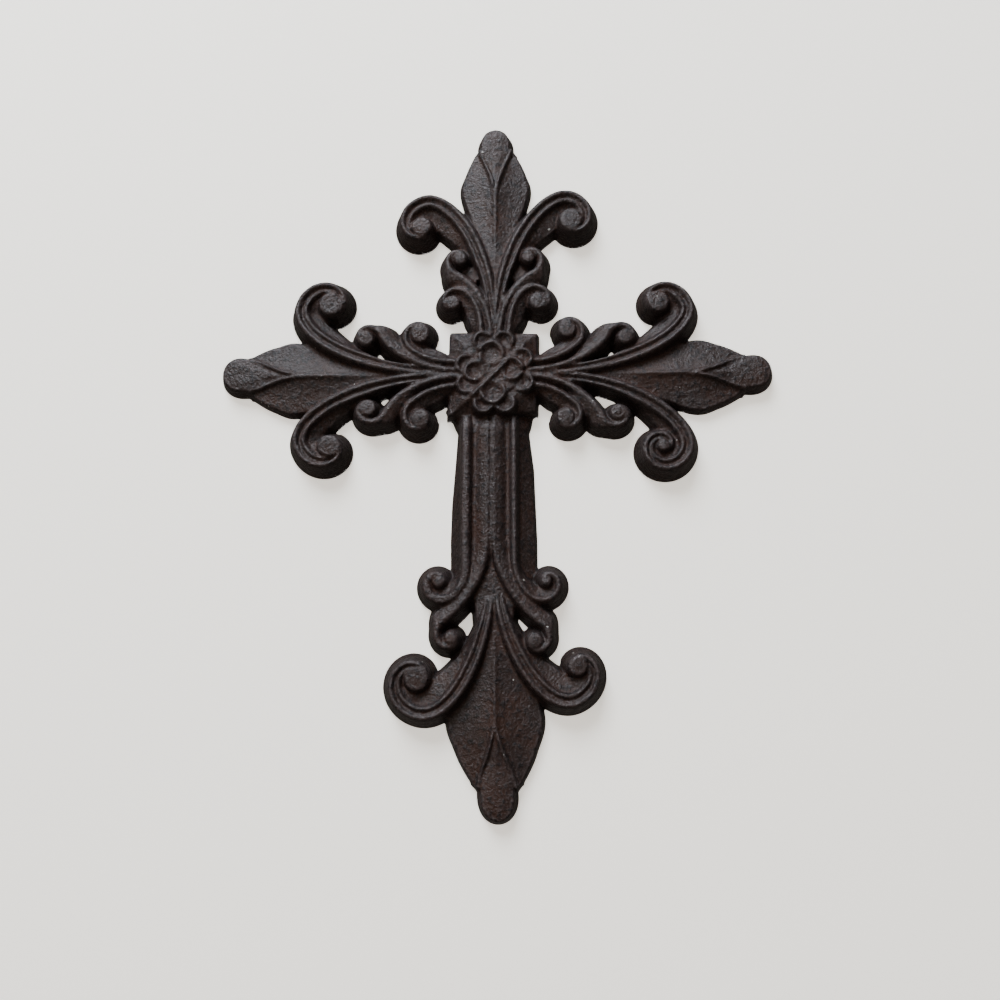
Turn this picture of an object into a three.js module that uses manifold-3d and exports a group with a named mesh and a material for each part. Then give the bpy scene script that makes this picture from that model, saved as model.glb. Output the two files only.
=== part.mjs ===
import * as THREE from 'three';
import { mergeVertices } from 'three/addons/utils/BufferGeometryUtils.js';
import Module from 'manifold-3d';

// A cast iron wall cross with scrolled ends, cast in one piece in an open sand mould.
// Millimetres. The flat back is the plane y = 0, the relief faces -y, and z is up.
// Each limb is drawn flat as [out, side]: out runs from the centre to the tip, side across it.
// Heights are measured from the back towards the viewer.

// Overall reach of each limb, from the centre of the rose to its tip
const rightTip = 118.7;
const leftTip = 118.9;
const headTip = 116.8;
const footTip = 185;

// Casting
const draft = 0.3; // how far a side wall leans out for each millimetre of height
const steepDraft = 0.12; // the same on the square and on the shaft's ribs
const floorHeight = 7; // plate between the ribs

// Scroll ribs
const ribHeight = 10.5;
const ribHalfWidth = 1.4;
const ribStart = 14; // where the ribs start, from the centre of the rose
const shaftRibStart = 18.4; // the same on the shaft
const shaftRibSink = 2.5; // how much lower the shaft's ribs start
const ribRounding = 0.9; // drop from the crest to the rib's edge
const bossHeight = 10.3;
const bossCrown = 0.5; // how much a boss is domed
const bossInside = 1; // how far the end of a rib runs into its boss
const curlSink = 0.6; // how far a rib drops from the start of its curl to the boss
const curlCore = 0.6; // how near to the middle of a curl its inside may come, as a share of the boss
const curlLeast = 0.7; // least reach of a rib towards the middle of its curl
const sectionAngle = 44; // degrees of curl for each section, on average
const curlSpacing = 1.25; // above 1, the sections are closer together on the wide part of a curl
const twinRibGap = 3.5; // from the outer rib of a big scroll to its inner rib
const rootRibGap = 1.9; // the same at its root
const grooveDepth = 1.7; // between the two ribs
const rootSink = 1.2; // how much lower a big scroll starts
const freeRootSink = 3.2; // how much lower still where it starts in the open
const freeRootGap = 1; // how much closer its two ribs start there
const webEdgeHeight = 5.6; // where the web inside a big scroll meets its side wall
const webStart = 3.2; // from the outer rib of a big scroll to the edge of its web, at its root
const innerWebReach = 3.4; // the same on the scroll next to the centre
const midFieldReach = 3.8; // sloping field on the outer side of the middle scroll
const midFieldHeight = 7.6;

// Leaf and bud at each tip
const spineRidgeHeight = 7.6;
const leafEdgeHeight = 4.4;
const leafRidgeHeight = 8;
const leafDrop = 2; // how much lower the leaf is at its far end
const leafMiddleShare = 0.56; // where the middle width is, from the widest place to the shoulder
const leafHidden = 8; // how far inside the tip the leaf ends, under the bud
const veinHeight = 0.8;
const veinHalfWidth = 0.8;
const shoulderFromTip = 12.2;
const budLength = 24.7;
const budHeight = 6.4;
const budCrown = 0.5;
const budTaper = 1.2; // how much the bud draws in towards its point
const budWidest = 0.74; // the value of its outline formula where it is widest
const neckLength = 11; // from the bud's point to where the shoulder ribs meet on the vein
const neckHeights = [7.1, 6.1]; // edge of the bud's neck, at the vein and at the shoulder
const neckCrown = 0.5;
const shoulderRibHeight = 1;
const shoulderRibHalfWidth = 0.85;

// Centre square and its rose, in [x, z]
const corners = [[18.5, 18.9], [-19.6, 19.6], [-20.3, -18.6], [17.9, -16.8]];
const squareHalf = 18.6; // mean distance of its sides
const squareEdgeHeight = 6.2;
const roofSlope = 0.62; // rise of its roof for each millimetre inwards
const roofReach = 6.4;
const petals = [
  { cup: [7.2, 1.4], radius: 4.8, lobes: [[12.2, -4.5], [11.8, 6.2]] },
  { cup: [-1.6, 8.3], radius: 5.2, lobes: [[4, 14], [-5.1, 14]] },
  { cup: [-8.6, 0.4], radius: 4.3, lobes: [[-12.4, 3.6], [-11.9, -5]] },
  { cup: [-0.8, -8.7], radius: 5.1, lobes: [[-4.7, -13.7], [4.4, -13.6]] },
];
const roseCore = 10.5; // how far the rose reaches between two petals
const lobeRadius = 4.6;
const petalHeight = 10.9;
const petalRimHeight = 12.3;
const petalRimHalfWidth = 0.9;
const seam = [[-9.4, -10.2], [6.2, 5.6]];
const seamHeight = 12.5;
const seamHalfWidth = 1;
const hip = [[-19.4, -17.8], [-9.2, -10]]; // from the lower left corner up to the seam
const hipHeights = [7.1, 11.8];

// Shaft between the centre and the foot, at distances down from the centre
const shaftDowns = [17.5, 25, 41, 57, 72, 88];
const shaftLeftFeet = [20.5, 16.3, 17.4, 18.6, 19, 18.8]; // half-widths at the back
const shaftRightFeet = [17.6, 14.6, 16.6, 17.2, 17.8, 17.8];
const shaftLeft = 14.4; // half-widths of its top
const shaftRight = 10.2;
const shaftEdgeHeight = 8;
const shaftGroove = -1.6; // x of the groove down its middle
const shaftCrests = [-2.9, -0.5]; // x of the crests beside the groove
const shaftCrestHeight = 9.3;
const fluteReach = 5.6; // from the groove to the bottom of each flute
const fluteHeight = 7.4;
const ledgeHeights = [5.4, 2.2]; // the step on its right side, beside the rib and at its edge
const ledgeLength = [0.4, 1]; // from the rib to the step, and from its edge to the back's
const shaftTopDrop = 1.6; // how much lower the shaft is where it meets the square
const shaftBlend = [74, 90]; // where its flutes fade into the plate

// Limbs. Pairs are [side +1, side -1]: up and down on the right arm, left and right on the
// head, down and up on the left arm, right and left on the foot.
const rightArm = {
  inner: {
    root: ribStart,
    side: [5.3, 5.3],
    eye: [[31.2, 19.6], [30.2, 19.6]],
    reach: [7.9, 7.3],
    boss: [3.7, 3.6],
  },
  mid: {
    root: ribStart,
    side: [1.3, 1.3],
    eye: [[56, 15.8], [52.5, 18]],
    reach: [7.2, 6.9],
    boss: [3, 3.4],
    from: 165,
  },
  big: {
    root: 25,
    side: [0.7, 0.7],
    eye: [[70.8, 31.8], [71.2, 32.6]],
    reach: [13.5, 11.5],
    boss: [4.6, 2.4],
    sweep: [250, 400],
    tightening: [2.3, 0.9],
    web: [9.4, 9.4],
  },
  spine: [[6, 9], [47, 4.6], [62, 7]],
  leaf: { wide: 15.4, wideAt: 85, middle: 13.2, shoulder: 8.6 },
  bud: { tip: rightTip, length: budLength, halfWidth: 7.1, lean: 1 },
};

const leftArm = {
  inner: {
    root: ribStart,
    side: [5.3, 5.3],
    eye: [[31.9, 19.8], [32.5, 18]],
    reach: [7.9, 7.6],
    boss: [3.8, 3.9],
  },
  mid: {
    root: ribStart,
    side: [1.3, 1.3],
    eye: [[54.6, 15.2], [55.9, 16.1]],
    reach: [7.8, 6.6],
    boss: [3.5, 3.2],
    from: 165,
  },
  big: {
    root: 25,
    side: [0.7, 0.7],
    eye: [[70.6, 31.8], [71.8, 32.1]],
    reach: [14, 14],
    boss: [4.7, 5.1],
    sweep: [250, 250],
    tightening: [2.3, 1.8],
    web: [9.4, 9.4],
  },
  spine: [[6, 9], [47, 4.6], [62, 7]],
  leaf: { wide: 15.8, wideAt: 85, middle: 13.6, shoulder: 8.8 },
  bud: { tip: leftTip, length: budLength, halfWidth: 7.4, lean: -1.6 },
};

const head = {
  inner: {
    root: ribStart,
    side: [6, 6],
    eye: [[32.2, 18.3], [32.6, 18.9]],
    reach: [7.6, 8.2],
    boss: [3, 3.7],
  },
  mid: {
    root: ribStart,
    side: [1.6, 1.6],
    eye: [[52.6, 15.4], [53.2, 14.6]],
    reach: [7.2, 7.8],
    boss: [2.8, 2.8],
    from: 165,
  },
  big: {
    root: 25,
    side: [0.7, 0.7],
    eye: [[68.1, 32.5], [70.6, 33.6]],
    reach: [13.4, 12.4],
    boss: [4.3, 4.9],
    sweep: [250, 250],
    tightening: [1.8, 1.8],
    web: [11.3, 12],
  },
  spine: [[6, 9], [47, 4.6], [62, 7]],
  leaf: { wide: 14.6, wideAt: 86, middle: 12.6, shoulder: 8.4 },
  bud: { tip: headTip, length: budLength, halfWidth: 6.3, lean: 0 },
};

const foot = {
  onShaft: true,
  inner: {
    root: 76,
    side: [8.2, 12.3],
    eye: [[89.8, 21.2], [90.2, 23.2]],
    reach: [9, 8.4],
    boss: [2.1, 2.1],
  },
  mid: {
    root: 70,
    side: [-0.5, 2.9],
    eye: [[113.9, 16.5], [112.8, 17.7]],
    reach: [7.4, 7.9],
    boss: [3, 2.7],
    from: 157,
  },
  big: {
    root: 85,
    side: [0.3, 1],
    eye: [[124.2, 33.6], [129.4, 31.8]],
    reach: [14.6, 14.9],
    boss: [3.8, 2.4],
    sweep: [250, 330],
    tightening: [2.3, 1.3],
    web: [12, 14],
  },
  spine: [[70, 10], [104, 7.6], [118, 8]],
  leaf: { wide: 18.4, wideAt: 143, middle: 14.2, shoulder: 8.8 },
  bud: { tip: footTip, length: 29, halfWidth: 5.8, lean: 0.6 },
};

const wideRib = 2; // half-width of the shaft's outer rib on the left

// Curls: where they start and how far they turn, in degrees, and how quickly they close
const smallSweep = 235;
const footInnerSweep = 330;
const innerFrom = -60;
const smallTightening = 1.2;
const innerPulls = [8, 8]; // how long a rib keeps its heading after the bend and before the curl
const midPulls = [18, 8.5];
const bigPull = 0.62; // the same for a big scroll after its bend, as a share of its reach

// Where along a rib its parts come in, as shares of its length
const along = {
  innerWeb: [0, 0.3],
  shaftWeb: [0.58, 0.8],
  shaftLean: [0.5, 0.72],
  shaftRise: [0, 0.06],
  midField: [0.3, 0.55],
  bigRise: [0, 0.25],
  freeRise: [0, 0.2],
  freeGap: [0, 0.15],
  twinsPart: [0.05, 0.4],
  web: [0.22, 0.6],
  freeWeb: [0.1, 0.6],
  webDrop: [0, 0.3],
};

// The same along a curl
const wound = {
  midFieldEnds: [0, 0.3],
  twinsMeet: [0.1, 0.9],
  webRise: [0, 0.25],
};
const webRootRise = 1.2; // how much higher the web of a big scroll ends at its root
const webCurlRise = 1.6; // and in its curl

const degrees = THREE.MathUtils.degToRad;
const limbs = [
  { ...rightArm, turned: degrees(0) },
  { ...head, turned: degrees(90) },
  { ...leftArm, turned: degrees(180) },
  { ...foot, turned: degrees(-90) },
];

const wasm = await Module();
wasm.setup();

// A smooth step from 0 at a to 1 at b.
function ease(value, a, b) {
  return THREE.MathUtils.smoothstep(value, Math.min(a, b), Math.max(a, b));
}

// A flat spiral that closes on an eye.
class Volute extends THREE.Curve {
  constructor({ centre, from, sweep, hand, outer, boss, tightening }) {
    super();
    Object.assign(this, { centre, from, sweep, hand, outer, boss, tightening });
  }

  radius(t) {
    return THREE.MathUtils.lerp(this.boss - bossInside, this.outer, (1 - t) ** this.tightening);
  }

  getPoint(t) {
    const angle = this.from + this.hand * this.sweep * t;
    const spoke = new THREE.Vector2(Math.cos(angle), Math.sin(angle));
    return spoke.multiplyScalar(this.radius(t)).add(this.centre);
  }
}

// The line of a scroll: a straight start, a bend and the volute, as stations that know
// their place, the way towards the eye and how far they may reach that way.
function scrollStations({ start, bend, pulls, volute, counts }) {
  const end = volute.getPoint(0);
  const heading = volute.getTangent(0);
  const stem = new THREE.CubicBezierCurve(
    bend,
    bend.clone().add(new THREE.Vector2(pulls[0], 0)),
    end.clone().addScaledVector(heading, -pulls[1]),
    end,
  );
  const parts = [
    { curve: new THREE.LineCurve(start, bend), count: start.equals(bend) ? 0 : 1 },
    { curve: stem, count: counts[0] },
    { curve: volute, count: counts[1] },
  ];
  const stations = [];
  parts.forEach(({ curve, count }, index) => {
    const last = index === parts.length - 1 ? 1 : 0;
    for (let i = 0; i < count + last; i += 1) {
      const t = curve === volute ? (i / count) ** curlSpacing : i / count;
      const tangent = curve.getTangent(t);
      const inward = new THREE.Vector2(-tangent.y, tangent.x).multiplyScalar(volute.hand);
      const place = curve.getPoint(t);
      const room = place.distanceTo(volute.centre) - curlCore * volute.boss;
      stations.push({ place, inward, room, curled: curve === volute ? t : 0 });
    }
  });
  let travelled = 0;
  stations.forEach((station, i) => {
    travelled += i ? station.place.distanceTo(stations[i - 1].place) : 0;
    station.travelled = travelled;
  });
  stations.forEach((station) => {
    station.share = station.travelled / travelled;
  });
  return stations;
}

// A solid skinned over rings of [out, side, height] points, closed at both ends.
function skin(rings) {
  const size = rings[0].length;
  const index = [];
  for (let i = 0; i < rings.length - 1; i += 1) {
    for (let j = 0; j < size; j += 1) {
      const a = i * size + j;
      const b = i * size + ((j + 1) % size);
      index.push(a, b, b + size, a, b + size, a + size);
    }
  }
  const cap = (ring, shift, flipped) => {
    const contour = ring.contour.map(([x, y]) => new THREE.Vector2(x, y));
    const backwards = THREE.ShapeUtils.area(contour) < 0;
    THREE.ShapeUtils.triangulateShape(contour, []).forEach((corners) => {
      const clockwise = THREE.ShapeUtils.area(corners.map((i) => contour[i])) < 0;
      const [a, b, c] = clockwise === backwards ? corners : corners.toReversed();
      index.push(...(flipped ? [a, c, b] : [a, b, c]).map((i) => i + shift));
    });
  };
  cap(rings[0], 0, true);
  cap(rings.at(-1), (rings.length - 1) * size, false);
  return { points: rings.flat(), index };
}

// Rings along a line of stations, from a section of [offset towards the eye, height] points.
function sweep(stations, section) {
  const rings = stations.map((station) => {
    const contour = section(station);
    const ring = contour.map(([offset, height]) => {
      const spot = station.place.clone().addScaledVector(station.inward, offset);
      return [spot.x, spot.y, height];
    });
    ring.contour = contour;
    return ring;
  });
  return skin(rings);
}

// A raised pad on a closed outline: a crowned top, an edge and a wall that leans out.
function pad(outline, height, crown, inset) {
  const centre = outline.reduce((sum, point) => sum.add(point), new THREE.Vector2());
  centre.divideScalar(outline.length);
  const levels = [[draft * height, 0], [0, height]];
  if (inset > 0) {
    levels.push([-inset, height + crown]);
  }
  const points = [];
  levels.forEach(([outward, level]) => {
    outline.forEach((point, i) => {
      const before = outline.at(i - 1);
      const after = outline[(i + 1) % outline.length];
      const run = after.clone().sub(before).normalize();
      points.push([point.x + run.y * outward, point.y - run.x * outward, level]);
    });
  });
  const count = outline.length;
  const index = [];
  for (let level = 0; level < levels.length - 1; level += 1) {
    for (let j = 0; j < count; j += 1) {
      const a = level * count + j;
      const b = level * count + ((j + 1) % count);
      index.push(a, b, b + count, a, b + count, a + count);
    }
  }
  points.push([centre.x, centre.y, 0], [centre.x, centre.y, height + crown]);
  for (let j = 0; j < count; j += 1) {
    const next = (j + 1) % count;
    index.push(points.length - 2, next, j);
    index.push(points.length - 1, (levels.length - 1) * count + j, (levels.length - 1) * count + next);
  }
  return { points, index };
}

// A round boss or lobe.
function disc(place, radius, height, crown, sides) {
  const outline = [];
  for (let i = 0; i < sides; i += 1) {
    const angle = (2 * Math.PI * i) / sides;
    outline.push(new THREE.Vector2(Math.cos(angle), Math.sin(angle)).multiplyScalar(radius).add(place));
  }
  return pad(outline, height, crown, 0);
}

// A low ridge along a curve, rooted inside the metal below it.
function ridge(curve, count, halfWidth, top, root) {
  const rings = [];
  for (let i = 0; i <= count; i += 1) {
    const t = i / count;
    const place = curve.getPoint(t);
    const tangent = curve.getTangent(t);
    const normal = new THREE.Vector2(-tangent.y, tangent.x);
    const contour = [[-halfWidth, root(t)], [0, top(t)], [halfWidth, root(t)]];
    const ring = contour.map(([offset, height]) => {
      const spot = place.clone().addScaledVector(normal, offset);
      return [spot.x, spot.y, height];
    });
    ring.contour = contour;
    rings.push(ring);
  }
  return skin(rings);
}

// How far a section may reach towards the middle of its curl: the edge of its top, and its foot.
function kept(edge, wall, room) {
  const top = Math.max(curlLeast, Math.min(edge, room - 0.8));
  return [top, Math.max(top + 0.3, Math.min(top + wall, room))];
}

// How many sections a curl takes.
function curlCount(sweepAngle) {
  return Math.round(sweepAngle / sectionAngle);
}

// How much lower a rib of the shaft starts, at a share of its length.
function sunk(limb, share) {
  return limb.onShaft ? shaftRibSink * (1 - ease(share, ...along.shaftRise)) : 0;
}

// Scroll next to the centre: one rib with a narrow web inside its curl. On the shaft it has no
// web, and its outer wall is steep.
function innerScroll(limb, pick) {
  const centre = new THREE.Vector2(...limb.inner.eye[pick]);
  const bossRadius = limb.inner.boss[pick];
  const sweepAngle = limb.onShaft ? footInnerSweep : smallSweep;
  const halfWidth = limb.onShaft && pick === 1 ? wideRib : ribHalfWidth;
  const volute = new Volute({
    centre,
    from: degrees(innerFrom),
    sweep: degrees(sweepAngle),
    hand: 1,
    outer: limb.inner.reach[pick],
    boss: bossRadius,
    tightening: smallTightening,
  });
  const bend = new THREE.Vector2(limb.inner.root, limb.inner.side[pick]);
  const start = new THREE.Vector2(limb.onShaft ? shaftRibStart : ribStart, bend.y);
  const counts = [4, curlCount(sweepAngle)];
  const stations = scrollStations({ start, bend, pulls: innerPulls, volute, counts });
  const line = sweep(stations, ({ room, share, curled }) => {
    const webbed = ease(share, ...(limb.onShaft ? along.shaftWeb : along.innerWeb));
    const leaning = limb.onShaft ? ease(share, ...along.shaftLean) : 1;
    const wall = THREE.MathUtils.lerp(steepDraft, draft, leaning) * floorHeight;
    const [edge, foot] = kept(halfWidth + innerWebReach * webbed + 0.3, wall, room);
    const top = ribHeight - curlSink * curled - sunk(limb, share);
    const flat = halfWidth - ribHalfWidth;
    return [
      [-halfWidth - draft * ribHeight, 0],
      [-halfWidth, top - ribRounding],
      [Math.min(flat + 0.3, edge - 0.3), top],
      [edge, floorHeight],
      [foot, 0],
    ];
  });
  return [line, disc(centre, bossRadius, bossHeight, bossCrown, 8)];
}

// Middle scroll: it curls over towards the tip, with a sloping field on its outer side.
function midScroll(limb, pick) {
  const centre = new THREE.Vector2(...limb.mid.eye[pick]);
  const bossRadius = limb.mid.boss[pick];
  const volute = new Volute({
    centre,
    from: degrees(limb.mid.from),
    sweep: degrees(smallSweep),
    hand: -1,
    outer: limb.mid.reach[pick],
    boss: bossRadius,
    tightening: smallTightening,
  });
  const bend = new THREE.Vector2(limb.mid.root, limb.mid.side[pick]);
  const start = new THREE.Vector2(limb.onShaft ? shaftRibStart : ribStart, bend.y);
  const counts = [4, curlCount(smallSweep)];
  const stations = scrollStations({ start, bend, pulls: midPulls, volute, counts });
  const line = sweep(stations, ({ room, share, curled }) => {
    const rising = limb.onShaft ? 1 : ease(share, ...along.midField);
    const swell = rising * (1 - ease(curled, ...wound.midFieldEnds));
    const field = ribHalfWidth + midFieldReach * swell;
    const fieldHeight = THREE.MathUtils.lerp(ribHeight - ribRounding, midFieldHeight, swell);
    const [edge, foot] = kept(ribHalfWidth, draft * ribHeight, room);
    const sink = curlSink * curled + sunk(limb, share);
    return [
      [-field - draft * fieldHeight, 0],
      [-field, fieldHeight - sink],
      [-0.4, ribHeight - sink],
      [edge, ribHeight - ribRounding - sink],
      [foot, 0],
    ];
  });
  return [line, disc(centre, bossRadius, bossHeight, bossCrown, 8)];
}

// Big scroll: twin ribs round a web that slopes down inside the curl. On the foot it starts in
// the open, so it rises out of the plate.
function bigScroll(limb, pick) {
  const centre = new THREE.Vector2(...limb.big.eye[pick]);
  const outer = limb.big.reach[pick];
  const bossRadius = limb.big.boss[pick];
  const sweepAngle = limb.big.sweep[pick];
  const volute = new Volute({
    centre,
    from: 0,
    sweep: degrees(sweepAngle),
    hand: 1,
    outer,
    boss: bossRadius,
    tightening: limb.big.tightening[pick],
  });
  const bend = new THREE.Vector2(limb.big.root, limb.big.side[pick]);
  const span = centre.x + outer - bend.x;
  const stations = scrollStations({
    start: limb.onShaft ? bend : new THREE.Vector2(ribStart, bend.y),
    bend,
    pulls: [span * bigPull, outer],
    volute,
    counts: [6, curlCount(sweepAngle)],
  });
  const line = sweep(stations, ({ room, share, curled }) => {
    const free = limb.onShaft ? 1 : 0;
    const freeLow = free * freeRootSink * (1 - ease(share, ...along.freeRise));
    const height = ribHeight - rootSink * (1 - ease(share, ...along.bigRise)) - freeLow - curlSink * curled;
    const spread = ease(share, ...along.twinsPart) * (1 - ease(curled, ...wound.twinsMeet));
    const closer = free * freeRootGap * (1 - ease(share, ...along.freeGap));
    const gap = THREE.MathUtils.lerp(rootRibGap, twinRibGap, spread) - closer;
    const webbed = ease(share, ...(free ? along.freeWeb : along.web));
    const reach = THREE.MathUtils.lerp(webStart, limb.big.web[pick], webbed);
    const rootRise = webRootRise * (1 - ease(share, ...along.webDrop));
    const edgeHeight = webEdgeHeight + webCurlRise * ease(curled, ...wound.webRise) + rootRise;
    const edge = Math.max(gap + 0.8, Math.min(reach, room - 0.7));
    const foot = Math.max(edge + 0.3, Math.min(edge + draft * edgeHeight, room));
    return [
      [-ribHalfWidth - draft * height, 0],
      [-ribHalfWidth, height - ribRounding],
      [-0.3, height],
      [gap * 0.55, height - grooveDepth * ease(height, 6, 9)],
      [gap, height - 0.4],
      [edge, edgeHeight],
      [foot, 0],
    ];
  });
  return [line, disc(centre, bossRadius, bossHeight, bossCrown, 10)];
}

// How far the middle line of a leaf has leaned to one side, at a distance out.
function leanAt(limb, out) {
  return limb.bud.lean * ease(out, limb.leaf.wideAt, limb.bud.tip);
}

// One side of the V that opens from the vein around the bud, in [out, side].
function shoulderLine(limb) {
  const { tip, length } = limb.bud;
  const { shoulder } = limb.leaf;
  const shoulderAt = tip - shoulderFromTip;
  const point = tip - length;
  return new THREE.CubicBezierCurve(
    new THREE.Vector2(point - neckLength, 0.1),
    new THREE.Vector2(point + 1, 1),
    new THREE.Vector2(shoulderAt - 5, shoulder - 2.5),
    new THREE.Vector2(shoulderAt + 1, shoulder - 1.3),
  );
}

// Half the width of that V, at a distance out.
function neckHalfWidth(limb, out) {
  const line = shoulderLine(limb).getPoints(20);
  const after = line.findIndex((point) => point.x > out);
  if (after < 1) {
    return after === 0 ? 0 : line.at(-1).y;
  }
  const [a, b] = [line[after - 1], line[after]];
  return THREE.MathUtils.lerp(a.y, b.y, (out - a.x) / (b.x - a.x));
}

// Height of the edge of the bud's neck, at a distance out.
function neckEdge(limb, out) {
  const { tip, length } = limb.bud;
  return THREE.MathUtils.lerp(...neckHeights, ease(out, tip - length - 6, tip - shoulderFromTip));
}

// Spine and leaf: one tapering plate with a roof-like top and a vein along its ridge, which
// widens into the neck of the bud.
function leaf(limb) {
  const { wide, wideAt, middle, shoulder } = limb.leaf;
  const { tip, length, halfWidth } = limb.bud;
  const shoulderAt = tip - shoulderFromTip;
  const middleAt = THREE.MathUtils.lerp(wideAt, shoulderAt, leafMiddleShare);
  const outline = [
    ...limb.spine,
    [wideAt, wide],
    [middleAt, middle],
    [shoulderAt, shoulder],
    [tip - leafHidden, halfWidth * 0.7],
  ];
  const edge = new THREE.SplineCurve(outline.map(([out, half]) => new THREE.Vector2(out, half)));
  const count = 2 * (outline.length - 1);
  const rings = [];
  for (let i = 0; i <= count; i += 1) {
    const { x: out, y: half } = edge.getPoint(i / count);
    const opening = ease(out, limb.spine.at(-2)[0], wideAt);
    const closing = ease(out, wideAt, tip);
    const neck = ease(out, tip - length - neckLength, tip - length);
    const low = THREE.MathUtils.lerp(floorHeight, leafEdgeHeight, opening);
    const drop = leafDrop * closing;
    const ridgeHeight = THREE.MathUtils.lerp(spineRidgeHeight, leafRidgeHeight, opening) - drop;
    const high = THREE.MathUtils.lerp(ridgeHeight, neckEdge(limb, out), neck);
    const raised = THREE.MathUtils.lerp(0.05 + veinHeight * opening, neckCrown, neck);
    const inner = Math.min(Math.max(veinHalfWidth, neckHalfWidth(limb, out)), half - 0.6);
    const contour = [
      [-half - draft * low, 0],
      [-half, low],
      [-inner, high],
      [0, high + raised],
      [inner, high],
      [half, low],
      [half + draft * low, 0],
    ];
    const ring = contour.map(([side, height]) => [out, side + leanAt(limb, out), height]);
    ring.contour = contour;
    rings.push(ring);
  }
  return skin(rings);
}

// The bud, and two thin ribs from the vein to the leaf's shoulders.
function bud(limb) {
  const { tip, length, halfWidth } = limb.bud;
  const middle = tip - length / 2;
  const outline = [];
  const count = 12;
  for (let i = 0; i < count; i += 1) {
    const angle = (2 * Math.PI * i) / count;
    const width = Math.sin(angle) * Math.abs(Math.sin(angle / 2)) ** budTaper;
    const out = middle - (length / 2) * Math.cos(angle);
    outline.push(new THREE.Vector2(out, (-width / budWidest) * halfWidth + leanAt(limb, out)));
  }
  const ribs = [1, -1].map((side) => {
    const places = shoulderLine(limb).getPoints(4);
    const bent = places.map((place) => new THREE.Vector2(place.x, side * place.y + leanAt(limb, place.x)));
    const line = new THREE.SplineCurve(bent);
    const base = (t) => neckEdge(limb, line.getPoint(t).x);
    const top = (t) => base(t) + shoulderRibHeight * ease(t, 0, 0.4) + 0.1;
    return ridge(line, 5, shoulderRibHalfWidth, top, (t) => base(t) - 1.2);
  });
  return [pad(outline, budHeight, budCrown, 2), ...ribs];
}

// The centre square: four walls and a roof that slopes up under the rose.
function square() {
  const levels = [
    [steepDraft * squareEdgeHeight, 0],
    [0, squareEdgeHeight],
    [-roofReach, squareEdgeHeight + roofSlope * roofReach],
  ];
  const rings = levels.map(([outward, height]) => {
    const grown = 1 + outward / squareHalf;
    const contour = corners.map(([x, z]) => [x * grown, z * grown]);
    const ring = contour.map(([x, z]) => [x, z, height]);
    ring.contour = contour;
    return ring;
  });
  return skin(rings);
}

// How far a lobe reaches from the middle of the rose in a direction, or 0 if it isn't met.
function lobeReach([x, z], direction) {
  const along = x * direction.x + z * direction.y;
  const across = x * direction.y - z * direction.x;
  const inside = lobeRadius ** 2 - across ** 2;
  return inside < 0 || along < 0 ? 0 : along + Math.sqrt(inside);
}

// The rose: a pad on the outline of eight lobes, a rim on each lobe, a cup in each petal and
// a seam through the middle.
function rose() {
  const outline = [];
  const count = 32;
  for (let i = 0; i < count; i += 1) {
    const angle = (2 * Math.PI * i) / count;
    const direction = new THREE.Vector2(Math.cos(angle), Math.sin(angle));
    const reaches = petals.flatMap(({ lobes }) => lobes.map((lobe) => lobeReach(lobe, direction)));
    outline.push(direction.clone().multiplyScalar(Math.max(roseCore, ...reaches)));
  }
  const rim = ([x, z], radius, heading, spread, steps) => {
    const arc = new THREE.EllipseCurve(x, z, radius, radius, heading - spread, heading + spread);
    const ends = (t) => Math.sin(Math.PI * THREE.MathUtils.clamp(t, 0.08, 0.92)) ** 0.4;
    const top = (t) => THREE.MathUtils.lerp(petalHeight, petalRimHeight, ends(t));
    return ridge(arc, steps, petalRimHalfWidth, top, () => petalHeight - 1);
  };
  const rims = petals.flatMap(({ cup, radius, lobes }) => {
    const cupRim = rim(cup, radius, Math.atan2(cup[1], cup[0]), degrees(125), 6);
    const lobeRims = lobes.map((lobe) => {
      const heading = Math.atan2(lobe[1] - cup[1] / 2, lobe[0] - cup[0] / 2);
      return rim(lobe, lobeRadius - petalRimHalfWidth, heading, degrees(75), 3);
    });
    return [cupRim, ...lobeRims];
  });
  const between = (ends) => new THREE.LineCurve(...ends.map(([x, z]) => new THREE.Vector2(x, z)));
  const seamRidge = ridge(between(seam), 1, seamHalfWidth, () => seamHeight, () => petalHeight - 1);
  const hipTop = (t) => THREE.MathUtils.lerp(...hipHeights, t);
  const hipRidge = ridge(between(hip), 1, seamHalfWidth, hipTop, (t) => hipTop(t) - 2);
  return [pad(outline, petalHeight, 0, 0), ...rims, seamRidge, hipRidge];
}

// The shaft: a fluted plate under the ribs that run on from the foot's scrolls.
function shaft() {
  const rings = shaftDowns.map((out, i) => {
    const plain = ease(out, ...shaftBlend);
    const drop = shaftTopDrop * (1 - ease(out, shaftDowns[0], shaftDowns[1]));
    const level = (height, even) => THREE.MathUtils.lerp(height, even, plain) - drop;
    const [stepOut, edgeIn] = ledgeLength;
    const contour = [
      [-shaftLeftFeet[i], 0],
      [-shaftLeft, level(shaftEdgeHeight, floorHeight)],
      [shaftGroove - fluteReach, level(fluteHeight, floorHeight)],
      [shaftCrests[0], level(shaftCrestHeight, floorHeight)],
      [shaftGroove, level(fluteHeight - 0.2, floorHeight - 0.1)],
      [shaftCrests[1], level(shaftCrestHeight, floorHeight)],
      [shaftGroove + fluteReach, level(fluteHeight, floorHeight)],
      [shaftRight - 1.2, level(shaftEdgeHeight, floorHeight)],
      [shaftRight + stepOut, ledgeHeights[0] - drop],
      [shaftRightFeet[i] - edgeIn, ledgeHeights[1]],
      [shaftRightFeet[i], 0],
    ];
    const ring = contour.map(([side, height]) => [out, side, height]);
    ring.contour = contour;
    return ring;
  });
  return skin(rings);
}

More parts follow.
